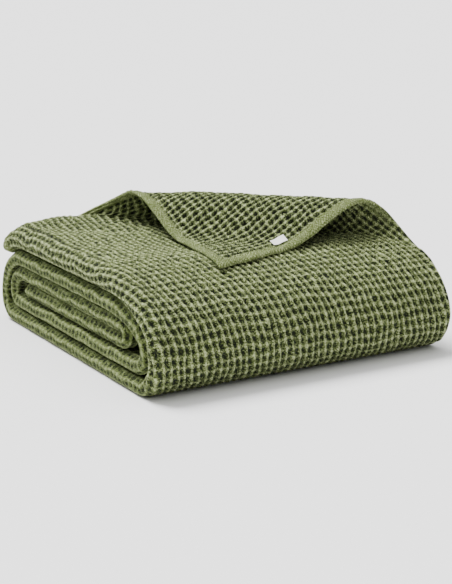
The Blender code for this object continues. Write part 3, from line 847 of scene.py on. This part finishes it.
def lay_roll():
    """The outermost layer round the back and under the roll, and what is rolled in behind it."""
    near_hem, near_fold = 0.069, 0.966
    columns = np.linspace(near_hem, near_fold, 230)
    rows = steps(BACK_START, BACK_END, step=0.0012)
    lay_cloth("back_turn", columns, rows, flat=(0.28, BACK_END - BACK_START))
    columns = np.linspace(near_hem, near_fold, 70)
    rows = steps(FRONT_END, BACK_START, step=0.004)
    lay_cloth("bottom", columns, rows, flat=(0.28, BACK_START - FRONT_END), carved=False)
    columns = np.linspace(near_hem, near_fold, 50)
    rows = steps(BACK_END, ROLL_END, step=0.006)
    lay_cloth("rolled_in", columns, rows, flat=(0.28, ROLL_END - BACK_END), carved=False)


def lay_inner_layers():
    """The three lays under the outermost one, with their hemmed ends in more detail."""
    columns = columns_over((2.0, 2.95, 160), (4.05, 5.0, 160), (5.1, 6.0, 12), (6.005, 6.95, 160))
    rows = hem_first(steps(0.0, END_STRETCH, step=0.0016))
    for name, side in (("end_hems", 1), ("end_hems_reverse", -1)):
        lay_cloth(name, columns, rows, flat=(0.92, END_STRETCH), side=side)
    stretches = (2.0, 2.0, 1), (2.04, 2.95, 40), (4.05, 5.0, 40), (5.125, 6.0, 8), (6.02, 6.94, 40)
    columns = columns_over(*stretches)
    rows = steps(END_STRETCH, ROLL_END, step=0.008)
    lay_cloth("inner_layers", columns, rows, flat=(0.92, ROLL_END - END_STRETCH), carved=False)


# The label: its edges from the hem inwards and from the strip's end down, how high it stands on the
# weave, how thick it is, how its free edge curls and how it waves along its length.
LABEL_ACROSS, LABEL_DOWN = (0.0100, 0.0193), (0.079, 0.098)
LABEL_STAND, LABEL_THICK, LABEL_CURL = 0.0028, 0.0003, 0.0006
LABEL_WAVE, LABEL_WAVES_PER_METRE = 0.00025, 500 / (2 * math.pi)


def make_label():
    """A bare strip of tape over the reverse of the corner, one edge caught in the hem's stitches."""
    points_across, points_down = 15, 25
    us = np.linspace(*LABEL_ACROSS, points_across) / LAY_LENGTH
    ss = np.linspace(*LABEL_DOWN, points_down)
    u, s = np.meshgrid(us, ss)
    middle = middle_of_cloth(u, s)
    square = face_directions(u, s)
    from_hem = (u * LAY_LENGTH - LABEL_ACROSS[0]) / (LABEL_ACROSS[1] - LABEL_ACROSS[0])
    wave = LABEL_WAVE * np.sin(2 * np.pi * LABEL_WAVES_PER_METRE * s)
    rise = LABEL_STAND + LABEL_CURL * from_hem**2 + wave
    layers = [(middle - square * rise), (middle - square * (rise + LABEL_THICK))]
    points = np.vstack([layer.reshape(3, -1).T for layer in layers]) - BOX_MIDDLE
    rows, columns = u.shape
    count = rows * columns
    index = np.arange(count).reshape(rows, columns)
    quads = grid_faces(rows, columns)
    edge = np.concatenate([index[0], index[1:, -1], index[-1, -2::-1], index[-2:0:-1, 0]])
    rim = np.stack([np.roll(edge, -1), edge, edge + count, np.roll(edge, -1) + count], -1)
    faces = np.vstack([quads, quads[:, ::-1] + count, rim])
    mesh = bpy.data.meshes.new("label_tape")
    mesh.from_pydata(points.tolist(), [], faces.tolist())
    mesh.shade_smooth()
    piece = bpy.data.objects.new("label_tape", mesh)
    bpy.context.scene.collection.objects.link(piece)
    mesh.materials.append(TAPE)
    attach(piece, "root")
    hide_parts("label")


# The studio. The camera stands where the photograph's did: the point it is aimed at, from what
# direction and how far, how long its lens is, and where in the picture that point comes.
CAMERA_AIM = np.array([0.0, 0.02, 0.05]) - BOX_MIDDLE
CAMERA_AZIMUTH, CAMERA_ELEVATION = math.radians(-29.28), math.radians(13.48)
CAMERA_DISTANCE = 1.4833
FOCAL_PIXELS, IMAGE_WIDTH, IMAGE_HEIGHT = 1500.0, 452, 584
AIM_PIXEL = (219.8, 286.2)
SENSOR = 36.0
# half the paper floor's side, far enough that its end never shows
FLOOR_HALF = 30.0
# the light from all round: how strong it is overhead and from the sides, and how it falls between
ROOM_OVERHEAD, ROOM_LEVEL, ROOM_FALL = 1.8, 0.20, 1.5
# the main light, behind and to the left of the throw: its direction, how wide it is and how strong
KEY_AZIMUTH, KEY_ELEVATION, KEY_SPREAD = math.radians(-150), math.radians(62), math.radians(30)
KEY_STRENGTH = 6.5


def place_camera():
    """Looks at the throw from the photograph's viewing angle."""
    camera_data = bpy.data.cameras.new("camera")
    camera = bpy.data.objects.new("camera", camera_data)
    bpy.context.scene.collection.objects.link(camera)
    toward = np.array(
        [
            math.sin(CAMERA_AZIMUTH) * math.cos(CAMERA_ELEVATION),
            -math.cos(CAMERA_AZIMUTH) * math.cos(CAMERA_ELEVATION),
            math.sin(CAMERA_ELEVATION),
        ]
    )
    camera.location = CAMERA_AIM + toward * CAMERA_DISTANCE
    camera.rotation_euler = (math.pi / 2 - CAMERA_ELEVATION, 0.0, CAMERA_AZIMUTH)
    camera_data.sensor_fit = "HORIZONTAL"
    camera_data.sensor_width = SENSOR
    camera_data.lens = FOCAL_PIXELS / IMAGE_WIDTH * SENSOR
    camera_data.shift_x = (IMAGE_WIDTH / 2 - AIM_PIXEL[0]) / IMAGE_WIDTH
    camera_data.shift_y = -(IMAGE_HEIGHT / 2 - AIM_PIXEL[1]) / IMAGE_WIDTH
    bpy.context.scene.camera = camera


def make_floor():
    """A pale paper floor, flat under the throw."""
    mesh = bpy.data.meshes.new("paper_floor")
    corners = [(x * FLOOR_HALF, y * FLOOR_HALF, 0) for x, y in ((-1, -1), (1, -1), (1, 1), (-1, 1))]
    mesh.from_pydata(corners, [], [(0, 1, 2, 3)])
    floor = bpy.data.objects.new("paper_floor", mesh)
    bpy.context.scene.collection.objects.link(floor)
    # pale backdrop paper: plain and matt, so that it reads as an even white under the lights
    material = bpy.data.materials.new("pale backdrop paper")
    material.use_nodes = True
    shader = material.node_tree.nodes["Principled BSDF"]
    shader.inputs["Base Color"].default_value = linear("#f4f4f4")
    shader.inputs["Roughness"].default_value = 0.9
    shader.inputs["Specular IOR Level"].default_value = 0.2
    mesh.materials.append(material)


def light_room():
    """Light from all round, brightest overhead and weakest from the sides."""
    world = bpy.data.worlds.new("white studio")
    bpy.context.scene.world = world
    world.use_nodes = True
    tree = world.node_tree
    place = add_node(tree, "ShaderNodeTexCoord")
    height = add_node(tree, "ShaderNodeSeparateXYZ", i0=place.outputs["Generated"]).outputs["Z"]
    share = maths(tree, "POWER", maths(tree, "MAXIMUM", height, 0.0), ROOM_FALL)
    strength = maths(tree, "MULTIPLY_ADD", share, ROOM_OVERHEAD - ROOM_LEVEL, ROOM_LEVEL)
    background = tree.nodes["Background"]
    background.inputs["Color"].default_value = (1.0, 1.0, 1.0, 1.0)
    tree.links.new(strength, background.inputs["Strength"])


def soft_key():
    """The main light: one big far lamp, so that the floor is evenly bright."""
    light_data = bpy.data.lights.new("key softbox", "SUN")
    light_data.angle = KEY_SPREAD
    light_data.energy = KEY_STRENGTH
    light = bpy.data.objects.new("key softbox", light_data)
    bpy.context.scene.collection.objects.link(light)
    light.rotation_euler = (math.pi / 2 - KEY_ELEVATION, 0.0, KEY_AZIMUTH)


lay_top_and_front()
lay_ends_of_roll()
lay_roll()
lay_inner_layers()
make_label()
place_camera()
make_floor()
light_room()
soft_key()
